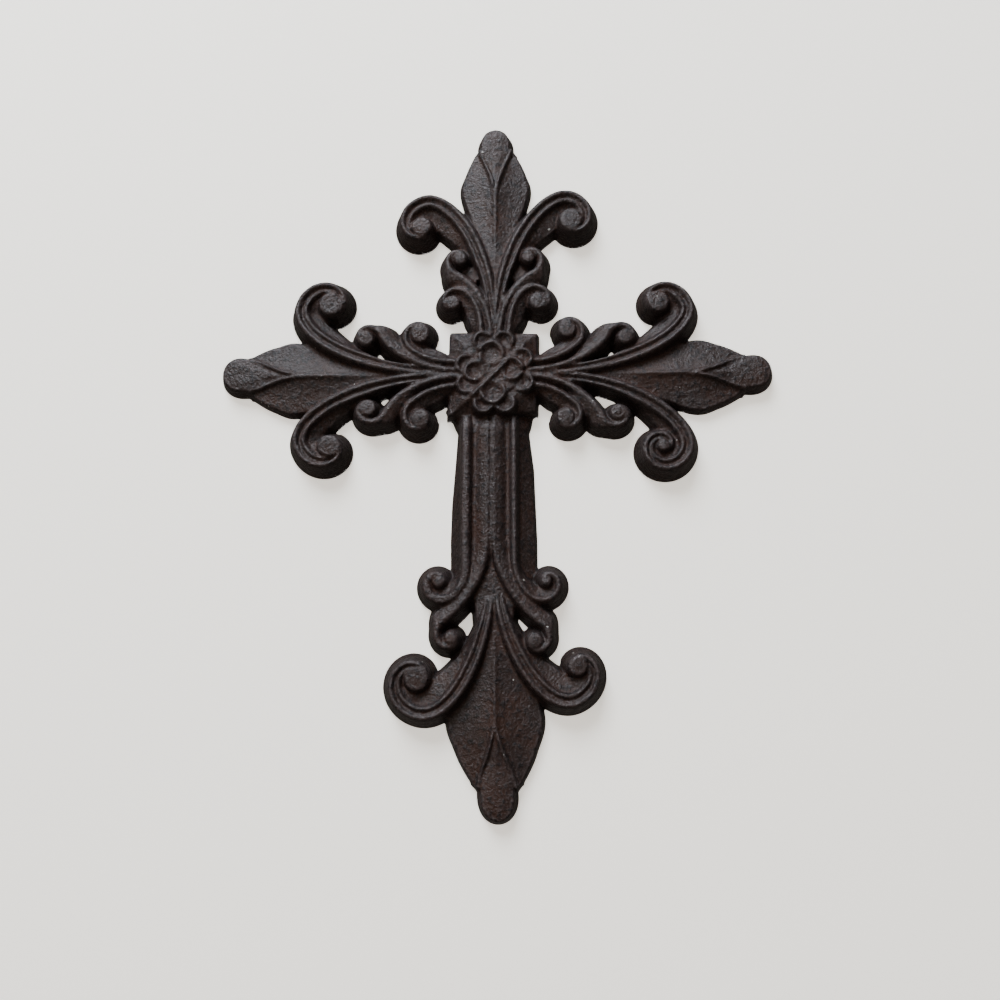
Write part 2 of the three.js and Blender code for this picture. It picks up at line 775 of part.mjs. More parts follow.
// Turns a flat drawing of a limb to its place on the cross. Side -1 is the mirror image.
function placed({ points, index }, turned, side) {
  const position = [];
  points.forEach(([out, across, height]) => {
    const spot = new THREE.Vector2(out, across * side).rotateAround(new THREE.Vector2(), turned);
    position.push(spot.x, -height, spot.y);
  });
  const geometry = new THREE.BufferGeometry();
  geometry.setAttribute('position', new THREE.Float32BufferAttribute(position, 3));
  geometry.setIndex(index);
  return facingOut(mergeVertices(geometry, 1e-4));
}

// Reverses the triangles of a geometry that is inside out.
function facingOut(geometry) {
  const position = geometry.getAttribute('position');
  const index = geometry.getIndex().array;
  const [a, b, c] = [new THREE.Vector3(), new THREE.Vector3(), new THREE.Vector3()];
  let volume = 0;
  for (let i = 0; i < index.length; i += 3) {
    a.fromBufferAttribute(position, index[i]);
    b.fromBufferAttribute(position, index[i + 1]);
    c.fromBufferAttribute(position, index[i + 2]);
    volume += a.dot(b.cross(c));
  }
  if (volume < 0) {
    geometry.setIndex(new THREE.BufferAttribute(Uint32Array.from(index).reverse(), 1));
  }
  return geometry;
}

function toSolid(geometry) {
  return new wasm.Manifold(new wasm.Mesh({
    numProp: 3,
    vertProperties: Float32Array.from(geometry.getAttribute('position').array),
    triVerts: Uint32Array.from(geometry.getIndex().array),
  }));
}

function toGeometry(solid) {
  const mesh = solid.getMesh();
  const geometry = new THREE.BufferGeometry();
  geometry.setAttribute('position', new THREE.BufferAttribute(mesh.vertProperties, 3));
  geometry.setIndex(new THREE.BufferAttribute(mesh.triVerts, 1));
  geometry.computeVertexNormals();
  return geometry;
}

// Everything that is cast together.
const drawings = [];
limbs.forEach((limb) => {
  drawings.push(placed(leaf(limb), limb.turned, 1));
  bud(limb).forEach((piece) => drawings.push(placed(piece, limb.turned, 1)));
  [1, -1].forEach((side, pick) => {
    [innerScroll, midScroll, bigScroll].forEach((make) => {
      make(limb, pick).forEach((piece) => drawings.push(placed(piece, limb.turned, side)));
    });
  });
});
drawings.push(placed(square(), 0, 1));
rose().forEach((piece) => drawings.push(placed(piece, 0, 1)));
drawings.push(placed(shaft(), degrees(-90), 1));

const casting = drawings.map(toSolid).reduce((sum, solid) => sum.add(solid));

const iron = new THREE.MeshStandardMaterial({ color: 0x4a403c, roughness: 0.72, metalness: 0.55 });
const cross = new THREE.Mesh(toGeometry(casting), iron);
cross.name = 'cross_casting';

const group = new THREE.Group();
group.add(cross);

export default group;
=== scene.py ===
import math
import bpy
import numpy as np
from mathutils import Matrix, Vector
from mathutils.geometry import tessellate_polygon


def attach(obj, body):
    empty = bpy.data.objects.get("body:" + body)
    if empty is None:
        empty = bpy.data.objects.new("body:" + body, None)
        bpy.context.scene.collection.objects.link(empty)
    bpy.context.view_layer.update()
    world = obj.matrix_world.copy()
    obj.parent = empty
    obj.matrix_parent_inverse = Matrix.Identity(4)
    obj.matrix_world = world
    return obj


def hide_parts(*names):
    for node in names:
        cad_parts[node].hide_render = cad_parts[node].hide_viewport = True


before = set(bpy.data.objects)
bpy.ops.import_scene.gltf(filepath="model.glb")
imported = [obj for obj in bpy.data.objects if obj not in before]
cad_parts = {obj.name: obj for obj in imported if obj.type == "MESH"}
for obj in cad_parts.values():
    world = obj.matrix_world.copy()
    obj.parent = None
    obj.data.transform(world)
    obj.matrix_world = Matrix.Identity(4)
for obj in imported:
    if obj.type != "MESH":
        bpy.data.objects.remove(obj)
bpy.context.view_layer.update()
print("frame loaded")

# The relief is a map of heights over the flat back, in millimetres, with x right and z up.
# Each limb is drawn as (out, side): out from the rose to the tip, side across it.
casting = {
    "gridStep": 0.56,
    "reach": ((-124.0, 124.0), (-190.0, 122.0)),  # x and z that the map covers
    "ground": -4.0,       # height of the map where there is no metal
    "draft": 0.3,         # lean of a side wall for each mm of height
    "floor": 7.0,         # plate between the ribs
    "softening": 0.28,    # how far a sharp edge is rounded by the sand
    "lineStep": 0.3,      # between the stations along a rib
    "batch": 4000,        # grid points that are matched to a line at one time
    "least": 1e-6,        # keeps a division safe
}

# A scroll's eye, how far its curl reaches past the eye, the radius of its boss, its sweep in
# degrees and how soon it closes. Pairs are the two sides of a limb: up and down on the right
# arm, left and right on the head, down and up on the left arm, right and left on the foot.
rightArm = {
    "turned": 0,
    "inner": {"root": 14, "sides": (5.3, 5.3), "eye": ((31.2, 19.6), (30.2, 19.6)), "reach": (7.9, 7.3),
              "boss": (3.7, 3.6), "sweep": (235, 235), "halfWidth": (1.4, 1.4)},
    "mid": {"root": 14, "sides": (1.3, 1.3), "eye": ((56.0, 15.8), (52.5, 18.0)), "reach": (7.2, 6.9),
            "boss": (3.0, 3.4), "turn": 165},
    "big": {"root": 25, "sides": (0.7, 0.7), "eye": ((70.8, 31.8), (71.2, 32.6)), "reach": (13.5, 11.5),
            "boss": (4.6, 2.4), "web": (9.4, 9.4), "sweep": (250, 400), "closing": (2.3, 0.9)},
    "spine": ((6, 9), (30, 6), (47, 4.6), (62, 7)),
    "leaf": {"wide": (85, 15.4), "middle": (97, 13.2), "shoulder": (106.5, 8.6)},
    "bud": {"point": 94, "tip": 118.7, "halfWidth": 7.1, "lean": 1.0},
}
leftArm = {
    "turned": 180,
    "inner": {"root": 14, "sides": (5.3, 5.3), "eye": ((31.9, 19.8), (32.5, 18.0)), "reach": (7.9, 7.6),
              "boss": (3.8, 3.9), "sweep": (235, 235), "halfWidth": (1.4, 1.4)},
    "mid": {"root": 14, "sides": (1.3, 1.3), "eye": ((54.6, 15.2), (55.9, 16.1)), "reach": (7.8, 6.6),
            "boss": (3.5, 3.2), "turn": 165},
    "big": {"root": 25, "sides": (0.7, 0.7), "eye": ((70.6, 31.8), (71.8, 32.1)), "reach": (14.0, 14.0),
            "boss": (4.7, 5.1), "web": (9.4, 9.4), "sweep": (250, 250), "closing": (2.3, 1.8)},
    "spine": ((6, 9), (30, 6), (47, 4.6), (62, 7)),
    "leaf": {"wide": (85, 15.8), "middle": (97, 13.6), "shoulder": (106.5, 8.8)},
    "bud": {"point": 94, "tip": 118.9, "halfWidth": 7.4, "lean": -1.6},
}
head = {
    "turned": 90,
    "inner": {"root": 14, "sides": (6, 6), "eye": ((32.2, 18.3), (32.6, 18.9)), "reach": (7.6, 8.2),
              "boss": (3.0, 3.7), "sweep": (235, 235), "halfWidth": (1.4, 1.4)},
    "mid": {"root": 14, "sides": (1.6, 1.6), "eye": ((52.6, 15.4), (53.2, 14.6)), "reach": (7.2, 7.8),
            "boss": (2.8, 2.8), "turn": 165},
    "big": {"root": 25, "sides": (0.7, 0.7), "eye": ((68.1, 32.5), (70.6, 33.6)), "reach": (13.4, 12.4),
            "boss": (4.3, 4.9), "web": (11.3, 12.0), "sweep": (250, 250), "closing": (1.8, 1.8)},
    "spine": ((6, 9), (30, 6), (47, 4.6), (62, 7)),
    "leaf": {"wide": (86, 14.6), "middle": (97, 12.6), "shoulder": (106, 8.4)},
    "bud": {"point": 93.5, "tip": 116.8, "halfWidth": 6.3, "lean": 0.0},
    "recess": {"centre": (46.5, 10.6), "radius": 4.2, "height": 5.6},
}
foot = {
    "turned": -90,
    "inner": {"root": 76, "sides": (8.2, 12.3), "eye": ((89.8, 21.2), (90.2, 23.2)), "reach": (9.0, 8.4),
              "boss": (2.1, 2.1), "sweep": (330, 330), "halfWidth": (1.4, 2.0)},
    "mid": {"root": 70, "sides": (-0.5, 2.9), "eye": ((113.9, 16.5), (112.8, 17.7)), "reach": (7.4, 7.9),
            "boss": (3.0, 2.7), "turn": 157},
    "big": {"root": 85, "sides": (0.3, 1.0), "eye": ((124.2, 33.6), (129.4, 31.8)), "reach": (14.6, 14.9),
            "boss": (3.8, 4.6), "web": (12.0, 14.0), "sweep": (250, 290), "closing": (2.3, 1.6)},
    "spine": ((70, 10), (92, 9), (104, 7.6), (118, 8)),
    "leaf": {"wide": (143, 19.0), "middle": (159, 15.6), "shoulder": (171, 9.4)},
    "bud": {"point": 156, "tip": 185, "halfWidth": 6.6, "lean": 1.2},
}
limbs = (rightArm, head, leftArm, foot)


def lerp(a, b, share):
    return a + (b - a) * share


def ease(value, a, b):  # a smooth step from 0 at a to 1 at b
    share = np.clip((value - a) / (b - a), 0, 1)
    return share * share * (3 - 2 * share)


def growing(value, amount, start, end):  # an amount that comes between start and end
    return amount * ease(value, start, end)


def fading(value, amount, start, end):  # an amount that goes between start and end
    return amount * (1 - ease(value, start, end))


def bezier(points, count):
    t = np.linspace(0, 1, count)[:, None]
    a, b, c, d = (np.array(point, float) for point in points)
    return a * (1 - t) ** 3 + 3 * b * t * (1 - t) ** 2 + 3 * c * t * t * (1 - t) + d * t ** 3


def throughPoints(points, perSpan):  # a smooth curve through points
    knots = np.array(points, float)
    knots = np.vstack([2 * knots[0] - knots[1], knots, 2 * knots[-1] - knots[-2]])
    line = []
    for a, b, c, d in zip(knots, knots[1:], knots[2:], knots[3:]):
        for t in np.arange(perSpan) / perSpan:
            line.append(0.5 * (2 * b + (c - a) * t + (2 * a - 5 * b + 4 * c - d) * t ** 2
                               + (3 * b - a - 3 * c + d) * t ** 3))
    return np.array(line + [knots[-2]])


def evenly(line, spacing):
    steps = np.r_[0, np.cumsum(np.hypot(*np.diff(line, axis=0).T))]
    count = max(3, int(steps[-1] / spacing))
    at = np.linspace(0, steps[-1], count)
    return np.c_[np.interp(at, steps, line[:, 0]), np.interp(at, steps, line[:, 1])]


class HeightMap:
    def __init__(self, settings):
        (left, right), (bottom, top) = settings["reach"]
        self.step = settings["gridStep"]
        self.xs = np.arange(left, right, self.step)
        self.zs = np.arange(bottom, top, self.step)
        self.x, self.z = np.meshgrid(self.xs, self.zs)
        self.height = np.full(self.x.shape, settings["ground"])

    def within(self, centre, radius):
        return np.hypot(self.x - centre[0], self.z - centre[1]) < radius

    def raiseTo(self, where, heights):
        self.height[where] = np.maximum(self.height[where], heights)


def blurred(values, reach, step):  # a Gaussian blur of a map, cut off at three times its reach
    count = int(math.ceil(3 * reach / step))
    weights = np.exp(-0.5 * (np.arange(-count, count + 1) * step / reach) ** 2)
    weights /= weights.sum()
    for axis in (0, 1):
        margins = [(count, count) if a == axis else (0, 0) for a in (0, 1)]
        padded = np.pad(values, margins, mode="edge")
        total = np.zeros_like(values)
        for i, weight in enumerate(weights):
            total += weight * (padded[i:i + len(values)] if axis == 0
                               else padded[:, i:i + values.shape[1]])
        values = total
    return values


class LimbSide:  # a limb's own coordinates; side -1 is its mirror image
    def __init__(self, heightMap, turned, side=1):
        c, s = math.cos(math.radians(turned)), math.sin(math.radians(turned))
        self.map = heightMap
        self.out = heightMap.x * c + heightMap.z * s
        self.side = (heightMap.z * c - heightMap.x * s) * side

    def box(self, points, margin):
        low, high = np.min(points, axis=0) - margin, np.max(points, axis=0) + margin
        return ((self.out > low[0]) & (self.out < high[0])
                & (self.side > low[1]) & (self.side < high[1]))


def profile(offset, offsets, heights):  # heights along one section, with both walls carried on
    rise, run = heights[:, 1] - heights[:, 0], offsets[:, 1] - offsets[:, 0]
    result = heights[:, 1] + (offset - offsets[:, 1]) * rise / run
    for k in range(1, offsets.shape[1] - 2):
        span = np.maximum(offsets[:, k + 1] - offsets[:, k], casting["least"])
        share = (offset - offsets[:, k]) / span
        level = lerp(heights[:, k], heights[:, k + 1], np.clip(share, 0, 1))
        result = np.where(share >= 0, level, result)
    run = np.maximum(offsets[:, -1] - offsets[:, -2], casting["least"])
    slope = (heights[:, -1] - heights[:, -2]) / run
    past = offset - offsets[:, -2]
    return np.where(past > 0, heights[:, -2] + past * slope, result)


def sweepSection(side, line, hand, section, width):
    # lays a section along a line, where the ground is square to it
    spacing = casting["lineStep"]
    where = np.nonzero(side.box(line, width))
    u, v = side.out[where], side.side[where]
    tangent = np.gradient(line, axis=0)
    tangent /= np.hypot(*tangent.T)[:, None]
    inward = np.c_[-tangent[:, 1], tangent[:, 0]] * hand
    nearest = np.empty(len(u), int)
    for start in range(0, len(u), casting["batch"]):
        part = slice(start, start + casting["batch"])
        distance = (u[part, None] - line[:, 0]) ** 2 + (v[part, None] - line[:, 1]) ** 2
        nearest[part] = distance.argmin(1)
    du, dv = u - line[nearest, 0], v - line[nearest, 1]
    ahead = du * tangent[nearest, 0] + dv * tangent[nearest, 1]
    last = len(line) - 1
    beforeStart = (nearest == 0) & (ahead < -spacing)
    pastEnd = (nearest == last) & (ahead > spacing)
    abreast = ~beforeStart & ~pastEnd & (np.hypot(du, dv) < width)
    index = np.clip(nearest + ahead / spacing, 0, last - 0.001)
    low = index.astype(int)
    share = (index - low)[:, None]
    offsets, heights = (lerp(values[low], values[low + 1], share) for values in section)
    offset = du * inward[nearest, 0] + dv * inward[nearest, 1]
    raised = profile(offset, offsets, heights)
    keep = abreast & (raised > casting["ground"])
    side.map.raiseTo((where[0][keep], where[1][keep]), raised[keep])


ribs = {
    "height": 10.5, "halfWidth": 1.4, "rounding": 0.9, "sink": 0.6,
    "start": 14.0, "shaftStart": 18.4,
    "sharpTop": (-0.5, 0.3),     # both sides of a rib's narrow top
    "shaftDip": (2.5, 0, 0.06),  # how low a rib of the shaft starts, and over which part of its way
    "core": 1.0,                 # kept free around the eye of a curl
    "curlEnd": 1.0,              # how far inside the boss's edge a curl ends
    "stemPoints": 160, "curlPoints": 240,
}


def volute(eye, start, sweep, hand, reach, end, closing):
    t = np.linspace(0, 1, ribs["curlPoints"])
    angle = np.radians(start + hand * sweep * t)
    radius = end + (reach - end) * (1 - t) ** closing
    return np.c_[eye[0] + radius * np.cos(angle), eye[1] + radius * np.sin(angle)]


def scroll(side, eye, root, bend, pulls, curl, hand, section, width):
    # a stem and its curl; the section function gets what changes along the way
    spacing = casting["lineStep"]
    heading = curl[1] - curl[0]
    heading /= np.hypot(*heading)
    handles = (bend[0] + pulls[0], bend[1]), curl[0] - heading * pulls[1]
    stem = bezier((bend, *handles, curl[0]), ribs["stemPoints"])
    if root[0] < bend[0]:
        stem = np.vstack([np.array(root, float)[None], stem])
    parts = [evenly(stem, spacing), *(evenly(piece, spacing) for piece in np.array_split(curl, 2))]
    parts[2] = evenly(np.vstack([parts[1][-1:], parts[2]]), spacing)
    lengths = [len(part) * spacing for part in parts]
    whole = sum(lengths)
    travelled = 0
    for part, length in zip(parts, lengths):
        way = travelled + np.linspace(0, length, len(part))
        wound = np.clip((way - lengths[0]) / (whole - lengths[0]), 0, 1)
        room = np.hypot(part[:, 0] - eye[0], part[:, 1] - eye[1]) - ribs["core"]
        sweepSection(side, part, hand, section(way / whole, wound, room), width)
        travelled += length


def stack(*pairs):  # offsets and heights of a section, for every station
    count = max(np.size(value) for pair in pairs for value in pair)
    columns = [[np.broadcast_to(value, count) for value in pair] for pair in pairs]
    return np.array([c[0] for c in columns], float).T, np.array([c[1] for c in columns], float).T


bosses = {
    "height": 10.3, "crown": 0.5, "margin": 5,
    "swirl": 0.3, "swirlWidth": 0.5, "swirlTurns": 1.5,
    "swirlSpan": (0.1, 0.55),  # its start and how far it widens, as shares of the radius
    "plainBelow": 2.9,         # a boss of a smaller radius has no swirl
}


def boss(side, eye, radius, hand):
    height, draft = bosses["height"], casting["draft"]
    where = np.hypot(side.out - eye[0], side.side - eye[1]) < radius + bosses["margin"]
    du, dv = side.out[where] - eye[0], side.side[where] - eye[1]
    r = np.hypot(du, dv)
    turn = (hand * np.arctan2(dv, du) / math.tau) % 1
    swirl = np.zeros_like(r)
    first, widening = bosses["swirlSpan"]
    turns = bosses["swirlTurns"]
    for ring in range(math.ceil(turns)):
        line = radius * (first + widening * (turn + ring) / turns)
        carved = np.exp(-((r - line) / bosses["swirlWidth"]) ** 2) * (turn + ring < turns)
        swirl = np.maximum(swirl, carved)
    swirl *= radius > bosses["plainBelow"]
    top = height + bosses["crown"] * (1 - (r / radius) ** 2) - bosses["swirl"] * swirl
    side.map.raiseTo(where, np.where(r < radius, top, height - (r - radius) / draft))


# In the settings of the three scrolls, pulls are the lengths of the stem's two handles and width is
# how far from its line a section reaches. A name that ends in s, such as webGrows or swells, holds
# the part of the way over which that happens, and Drop, Rise, Dip and Pinch hold the amount first.
# Least and spare keep a wall standing where a curl has little room.
innerScrolls = {
    "firstAngle": -60, "closing": 1.2, "pulls": (8, 8), "width": 12,
    "web": 3.4, "webGrows": (0, 0.3), "shaftWebGrows": (0.58, 0.8),
    "steep": 0.12, "shaftLeans": (0.5, 0.72),  # lean along the shaft, before it becomes the draft
    "lip": 0.3, "leastEdge": 0.9, "spare": 0.8, "leastWall": 0.3,
    "shoulder": 1.5, "shoulderSpare": 0.2,
}


def innerScroll(side, limb, pick):
    shape, own = limb["inner"], innerScrolls
    eye, reach = shape["eye"][pick], shape["reach"][pick]
    radius, halfWidth = shape["boss"][pick], shape["halfWidth"][pick]
    end = radius - ribs["curlEnd"]
    curl = volute(eye, own["firstAngle"], shape["sweep"][pick], 1, reach, end, own["closing"])
    bend = (shape["root"], shape["sides"][pick])
    height, draft = ribs["height"], casting["draft"]
    shafted = limb is foot  # along the shaft it has no web, and its outer wall is steep

    def section(along, wound, room):
        sink = ribs["sink"] * wound + (fading(along, *ribs["shaftDip"]) if shafted else 0)
        leaning = ease(along, *own["shaftLeans"]) if shafted else 1
        webbed = ease(along, *own["shaftWebGrows" if shafted else "webGrows"])
        wall = lerp(own["steep"], draft, leaning) * casting["floor"]
        web = halfWidth + own["web"] * webbed + own["lip"]
        edge = np.maximum(own["leastEdge"], np.minimum(web, room - own["spare"]))
        bottom = np.maximum(edge + own["leastWall"], np.minimum(edge + wall, room))
        flat = halfWidth - ribs["rounding"]
        return stack(
            (-halfWidth - draft * height, 0),
            (-halfWidth, height - ribs["rounding"] - sink),
            (-flat, height - sink),
            (flat, height - sink),
            (np.minimum(halfWidth, edge - own["shoulderSpare"]), height - own["shoulder"] - sink),
            (edge, casting["floor"]),
            (bottom, 0),
        )

    start = ribs["shaftStart"] if shafted else ribs["start"]
    scroll(side, eye, (start, bend[1]), bend, own["pulls"], curl, 1, section, own["width"])
    boss(side, eye, radius, 1)


midScrolls = {
    "sweep": 235, "closing": 1.2, "pulls": (18, 8.5), "width": 13,
    "field": 3.8, "fieldHeight": 7.6, "swells": (0.3, 0.55), "shrinks": (0, 0.3),
    "bulge": 0.35, "bulgeAt": (0.55, 0.2),  # a share of the field's width, and a length
    "leastWall": 0.6, "spare": 0.3,
}


def midScroll(side, limb, pick):
    shape, own = limb["mid"], midScrolls
    eye, reach = shape["eye"][pick], shape["reach"][pick]
    radius = shape["boss"][pick]
    end = radius - ribs["curlEnd"]
    curl = volute(eye, shape["turn"], own["sweep"], -1, reach, end, own["closing"])
    bend = (shape["root"], shape["sides"][pick])
    halfWidth, height, draft = ribs["halfWidth"], ribs["height"], casting["draft"]
    shafted = limb is foot

    def section(along, wound, room):
        sink = ribs["sink"] * wound + (fading(along, *ribs["shaftDip"]) if shafted else 0)
        swell = (1 if shafted else ease(along, *own["swells"])) * fading(wound, 1, *own["shrinks"])
        field = halfWidth + own["field"] * swell
        fieldHeight = lerp(height - ribs["rounding"], own["fieldHeight"], swell)
        bottom = np.maximum(own["leastWall"], np.minimum(halfWidth + draft * height, room))
        edge = np.minimum(halfWidth, bottom - own["spare"])
        share, length = own["bulgeAt"]
        return stack(
            (-field - draft * fieldHeight, 0),
            (-field, fieldHeight - sink),
            (-field * share - length, (fieldHeight + height) / 2 + own["bulge"] * swell - sink),
            (ribs["sharpTop"][0], height - sink),
            (ribs["sharpTop"][1], height - sink),
            (edge, height - ribs["rounding"] - sink),
            (bottom, 0),
        )

    start = ribs["shaftStart"] if shafted else ribs["start"]
    scroll(side, eye, (start, bend[1]), bend, own["pulls"], curl, -1, section, own["width"])
    boss(side, eye, radius, -1)


bigScrolls = {
    "pull": 0.62, "width": 20,
    "rootDrop": (1.2, 0, 0.25), "freeDrop": (3.2, 0, 0.2), "freePinch": (1.0, 0, 0.15),
    "rootGap": 1.9, "twinGap": 3.5, "gapOpens": (0.05, 0.4), "gapCloses": (0.1, 0.9),
    "groove": 1.9, "groovedAt": (6, 9),  # heights between which the groove comes
    "firstDrop": 0.1, "secondTop": (-0.4, 0.3), "secondDrop": 0.5,
    "flankOut": 1.6, "flankDrop": 1.9, "flankShare": 0.35, "flankSpare": 0.1,
    "webStart": 3.2, "webGrows": (0.22, 0.6), "freeWebGrows": (0.1, 0.6),
    "webEdge": 5.6, "curlRise": (1.6, 0, 0.25), "rootRise": (1.2, 0, 0.3),
    "leastWeb": 0.8, "spare": 0.7, "leastWall": 0.2,
}


def bigScroll(side, limb, pick):
    shape, own = limb["big"], bigScrolls
    eye, reach = shape["eye"][pick], shape["reach"][pick]
    radius = shape["boss"][pick]
    end = radius - ribs["curlEnd"]
    curl = volute(eye, 0, shape["sweep"][pick], 1, reach, end, shape["closing"][pick])
    bend = (shape["root"], shape["sides"][pick])
    free = limb is foot  # it starts in the open, so it rises out of the plate
    halfWidth, draft = ribs["halfWidth"], casting["draft"]

    def section(along, wound, room):
        height = ribs["height"] - fading(along, *own["rootDrop"]) - ribs["sink"] * wound
        opening = ease(along, *own["gapOpens"]) * fading(wound, 1, *own["gapCloses"])
        gap = lerp(own["rootGap"], own["twinGap"], opening)
        webbed = ease(along, *own["freeWebGrows" if free else "webGrows"])
        web = lerp(own["webStart"], shape["web"][pick], webbed)
        if free:
            height = height - fading(along, *own["freeDrop"])
            gap = gap - fading(along, *own["freePinch"])
        edgeHeight = own["webEdge"] + growing(wound, *own["curlRise"]) + fading(along, *own["rootRise"])
        edge = np.maximum(gap + own["leastWeb"], np.minimum(web, room - own["spare"]))
        wall = np.minimum(edge + draft * edgeHeight, room)
        flank = np.minimum(gap + own["flankOut"], edge - own["flankSpare"])
        second = height - own["secondDrop"]
        return stack(
            (-halfWidth - draft * height, 0),
            (-halfWidth, height - ribs["rounding"]),
            (ribs["sharpTop"][0], height),
            (ribs["sharpTop"][1], height - own["firstDrop"]),
            (gap * 0.5, height - own["groove"] * ease(height, *own["groovedAt"])),
            (gap + own["secondTop"][0], second),
            (gap + own["secondTop"][1], second),
            (flank, lerp(height - own["flankDrop"], edgeHeight, own["flankShare"])),
            (edge, edgeHeight),
            (np.maximum(edge + own["leastWall"], wall), 0),
        )

    pulls = ((eye[0] + reach - bend[0]) * own["pull"], reach)
    root = bend if free else (ribs["start"], bend[1])
    scroll(side, eye, root, bend, pulls, curl, 1, section, own["width"])
    boss(side, eye, radius, 1)


def recessFloor(side, limb):  # closes the small gap between a mid scroll and the rib beside it
    shape = limb["recess"]
    fromCentre = np.hypot(side.out - shape["centre"][0], side.side - shape["centre"][1])
    side.map.raiseTo(fromCentre < shape["radius"], shape["height"])


leaves = {
    "edge": 4.4, "ridge": 8.0, "scoop": 0.5, "rootCrown": 0.6, "tipDrop": 2, "halfReach": 26,
    "veinHeight": 0.8, "veinHalfWidth": 0.9,
    "veinFades": (-3, 8),        # from the place where the ribs beside the bud meet
    "meeting": 11,               # how far before the bud's point that is
    "end": 8, "endWidth": 0.7,   # before the tip, and as a share of the bud's width
    "pointsPerSpan": 16,
}


def leanAt(limb, out):
    return growing(out, limb["bud"]["lean"], limb["leaf"]["wide"][0], limb["bud"]["tip"])


def leafSurface(limb, out):
    # half-width, edge height and middle height at distances out, and how far the leaf has opened
    shape, bud = limb["leaf"], limb["bud"]
    end = (bud["tip"] - leaves["end"], bud["halfWidth"] * leaves["endWidth"])
    knots = [*limb["spine"], shape["wide"], shape["middle"], shape["shoulder"], end]
    outline = throughPoints(knots, leaves["pointsPerSpan"])
    half = np.interp(out, outline[:, 0], outline[:, 1])
    opening = ease(out, limb["spine"][-2][0], shape["wide"][0])
    drop = growing(out, leaves["tipDrop"], shape["wide"][0], bud["tip"])
    low = lerp(casting["floor"], leaves["edge"], opening)
    high = lerp(casting["floor"] + leaves["rootCrown"], leaves["ridge"], opening) - drop
    return half, low, high, opening


def leafHeight(limb, out, side):
    half, low, high, opening = leafSurface(limb, out)
    across = np.abs(side - leanAt(limb, out))
    share = np.clip(across / half, 0, 1)
    meeting = limb["bud"]["point"] - leaves["meeting"]
    fades = (meeting + leaves["veinFades"][0], meeting + leaves["veinFades"][1])
    vein = leaves["veinHeight"] * opening * fading(out, 1, *fades)
    top = lerp(high, low, share) - leaves["scoop"] * opening * np.sin(math.pi * share)
    return top + vein * np.exp(-(across / leaves["veinHalfWidth"]) ** 2), across, half, low


def leaf(side, limb):
    root, end = limb["spine"][0][0], limb["bud"]["tip"] - leaves["end"]
    near = (side.out > root) & (side.out < end) & (np.abs(side.side) < leaves["halfReach"])
    where = np.nonzero(near)
    top, across, half, low = leafHeight(limb, side.out[where], side.side[where])
    side.map.raiseTo(where, np.where(across < half, top, low - (across - half) / casting["draft"]))


budRibs = {
    "height": 1.9, "halfWidth": 0.95, "points": 120,
    "end": (1.2, -1.3), "endHandle": (-5, -2.5),    # from the leaf's shoulder
    "startHandle": (1, 1.0), "startSide": 0.1,      # from the bud's point
    "fullBefore": 2, "topHalfWidth": 0.25,
    "sideDepth": 0.2, "footWidth": 1.2, "footDepth": 0.6, "reach": 4,
}


def budRibLine(limb):  # one side of the V that opens from the vein around the bud
    shape, point = limb["leaf"]["shoulder"], limb["bud"]["point"]
    end, endHandle, startHandle = budRibs["end"], budRibs["endHandle"], budRibs["startHandle"]
    return bezier((
        (shape[0] + end[0], shape[1] + end[1]),
        (shape[0] + endHandle[0], shape[1] + endHandle[1]),
        (point + startHandle[0], startHandle[1]),
        (point - leaves["meeting"], budRibs["startSide"]),
    ), budRibs["points"])


buds = {
    "height": 6.4, "crown": 0.5, "crownWidth": 4,
    "taper": 1.2, "widest": 0.74,  # the teardrop's power, and its greatest width before scaling
    "outlinePoints": 60, "margin": (5, 14),
    "neckDrop": 1.2, "neckBlend": (6, 10), "neckRounding": 1.2, "neckLeast": 0.5,
}


def bud(side, limb):
    shape = limb["bud"]
    point, tip = shape["point"], shape["tip"]
    middle, half = (tip + point) / 2, (tip - point) / 2
    angle = np.linspace(0, math.pi, buds["outlinePoints"])
    fullness = np.sin(angle) * np.abs(np.sin(angle / 2)) ** buds["taper"] / buds["widest"]
    outline = np.c_[middle - half * np.cos(angle), fullness * shape["halfWidth"]]
    start, end = point - leaves["meeting"], tip + buds["margin"][0]
    near = (side.out > start) & (side.out < end)
    where = np.nonzero(near & (np.abs(side.side - shape["lean"]) < buds["margin"][1]))
    out = side.out[where]
    across = np.abs(side.side[where] - leanAt(limb, out))
    # distance to the outline, positive inside
    distance = np.full(len(out), np.inf)
    for a, b in zip(outline, outline[1:]):
        way = b - a
        share = np.clip(((out - a[0]) * way[0] + (across - a[1]) * way[1]) / (way @ way), 0, 1)
        outMissed, acrossMissed = out - a[0] - share * way[0], across - a[1] - share * way[1]
        distance = np.minimum(distance, np.hypot(outMissed, acrossMissed))
    inside = across < np.interp(out, outline[:, 0], outline[:, 1], left=-1, right=-1)
    distance = np.where(inside, distance, -distance)
    top = buds["height"] + growing(distance, buds["crown"], 0, buds["crownWidth"])
    wall = buds["height"] + distance / casting["draft"]
    side.map.raiseTo(where, np.where(distance > 0, top, wall))
    # its neck fills the V
    line = budRibLine(limb)[::-1]
    edge = np.interp(out, line[:, 0], line[:, 1], right=0)
    before, after = buds["neckBlend"]
    blend = ease(out, point - before, tip - after)
    neck = lerp(leaves["ridge"] - buds["neckDrop"], buds["height"] + buds["crown"], blend)
    neck = neck - buds["neckRounding"] * (across / np.maximum(edge, buds["neckLeast"])) ** 2
    inV = across < edge
    side.map.raiseTo((where[0][inV], where[1][inV]), neck[inV])


